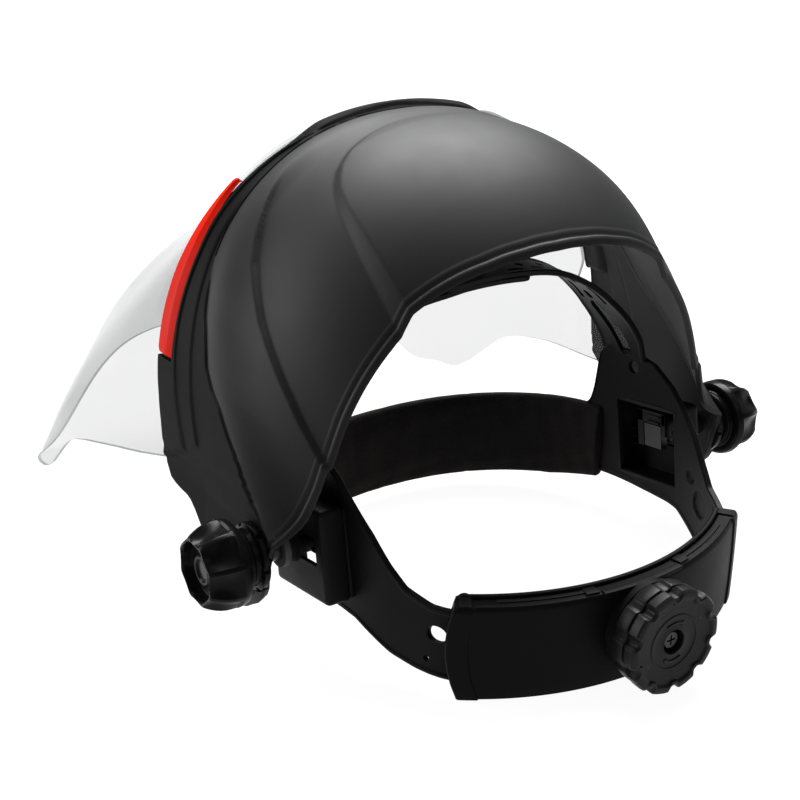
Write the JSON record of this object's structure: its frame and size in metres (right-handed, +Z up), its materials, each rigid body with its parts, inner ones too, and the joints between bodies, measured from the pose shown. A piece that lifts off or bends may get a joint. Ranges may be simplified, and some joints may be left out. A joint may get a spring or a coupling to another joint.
{
  "type": "face shield",
  "caption": "Ratchet-suspension face shield with a domed black crown, a clear tilting visor and an adjustable padded head harness.",
  "frame": {"origin": "centre of the bottom of the whole object's box, on the surface it stands on", "axes": "+X to the wearer's left along the visor hinge, -Y the way the wearer looks, +Z up"},
  "size_m": [0.318, 0.3942, 0.2156],
  "materials": {
    "crown_black": "satin moulded polypropylene",
    "visor_clear": "clear polycarbonate",
    "clip_red": "gloss",
    "harness_black": "satin",
    "knob_black": "gloss",
    "knob_satin": "satin",
    "washer_dark": "matte",
    "steel": "zinc plated",
    "brass": "turned",
    "gear_white": "acetal",
    "sweatband_cloth": "black brushed cloth over foam"
  },
  "bodies": {
    "harness": {"head_band": "harness_black", "band_arm_left": "harness_black", "band_arm_right": "harness_black", "crown_strap_left": "harness_black", "crown_strap_right": "harness_black", "crown_strap_pegs": "harness_black", "sweatband": "sweatband_cloth"},
    "pivot_carriage": {"carriage_left": "harness_black", "carriage_right": "harness_black", "pivot_bolt_left": "steel", "pivot_bolt_right": "steel", "friction_washer_left": "washer_dark", "friction_washer_right": "washer_dark", "collar_left": "knob_black", "collar_right": "knob_black"},
    "shield": {"crown_shell": "crown_black", "visor_lens": "visor_clear", "visor_clip_left": "clip_red", "visor_clip_right": "clip_red", "visor_pegs": "harness_black"},
    "knob_left": {"side_knob_left": "knob_black", "knob_nut_left": "brass"},
    "knob_right": {"side_knob_right": "knob_black", "knob_nut_right": "brass"},
    "rear_unit": {"rear_cover_outer": "harness_black", "rear_cover_inner": "harness_black", "cover_screws": "steel", "detent_spring": "steel"},
    "rack_l": {"rack_left": "harness_black"},
    "rack_r": {"rack_right": "harness_black"},
    "ratchet": {"pinion": "gear_white", "ratchet_knob": "knob_satin", "knob_screw": "steel", "knob_washer": "washer_dark"}
  },
  "joints": [
    {"name": "fore_aft_slide", "type": "slide", "parent": "harness", "child": "pivot_carriage", "axis": [0, 0.9903, 0.1392], "range_m": [-0.008, 0.008]},
    {"name": "visor_tilt", "type": "hinge", "parent": "pivot_carriage", "child": "shield", "pos_m": [0, 0.07148, 0.0482], "axis": [1, 0, 0], "range_deg": [-25, 52]},
    {"name": "knob_left_turn", "type": "hinge", "parent": "pivot_carriage", "child": "knob_left", "pos_m": [0.148, 0.07148, 0.0482], "axis": [1, 0, 0], "continuous": true},
    {"name": "knob_right_turn", "type": "hinge", "parent": "pivot_carriage", "child": "knob_right", "pos_m": [-0.148, 0.07148, 0.0482], "axis": [1, 0, 0], "continuous": true},
    {"name": "size_slide", "type": "slide", "parent": "harness", "child": "rear_unit", "axis": [0, 1, 0], "range_m": [-0.014, 0.008], "deforming": ["band_arm_left", "band_arm_right"]},
    {"name": "ratchet_turn", "type": "hinge", "parent": "rear_unit", "child": "ratchet", "pos_m": [0, 0.19148, 0.0246], "axis": [0, 1, 0], "range_deg": [-140, 90]},
    {"name": "rack_left_slide", "type": "hinge", "parent": "rear_unit", "child": "rack_l", "pos_m": [0, 0.04648, 0.0246], "axis": [0, 0, 1], "range_deg": [-6, 9]},
    {"name": "rack_right_slide", "type": "hinge", "parent": "rear_unit", "child": "rack_r", "pos_m": [0, 0.04648, 0.0246], "axis": [0, 0, 1], "range_deg": [-9, 6]}
  ],
  "couplings": [
    {"joint": "ratchet_turn", "follows": "size_slide", "rad_per_m": 156.25},
    {"joint": "rack_left_slide", "follows": "size_slide", "rad_per_m": -7.9745},
    {"joint": "rack_right_slide", "follows": "size_slide", "rad_per_m": 7.9745}
  ]
}
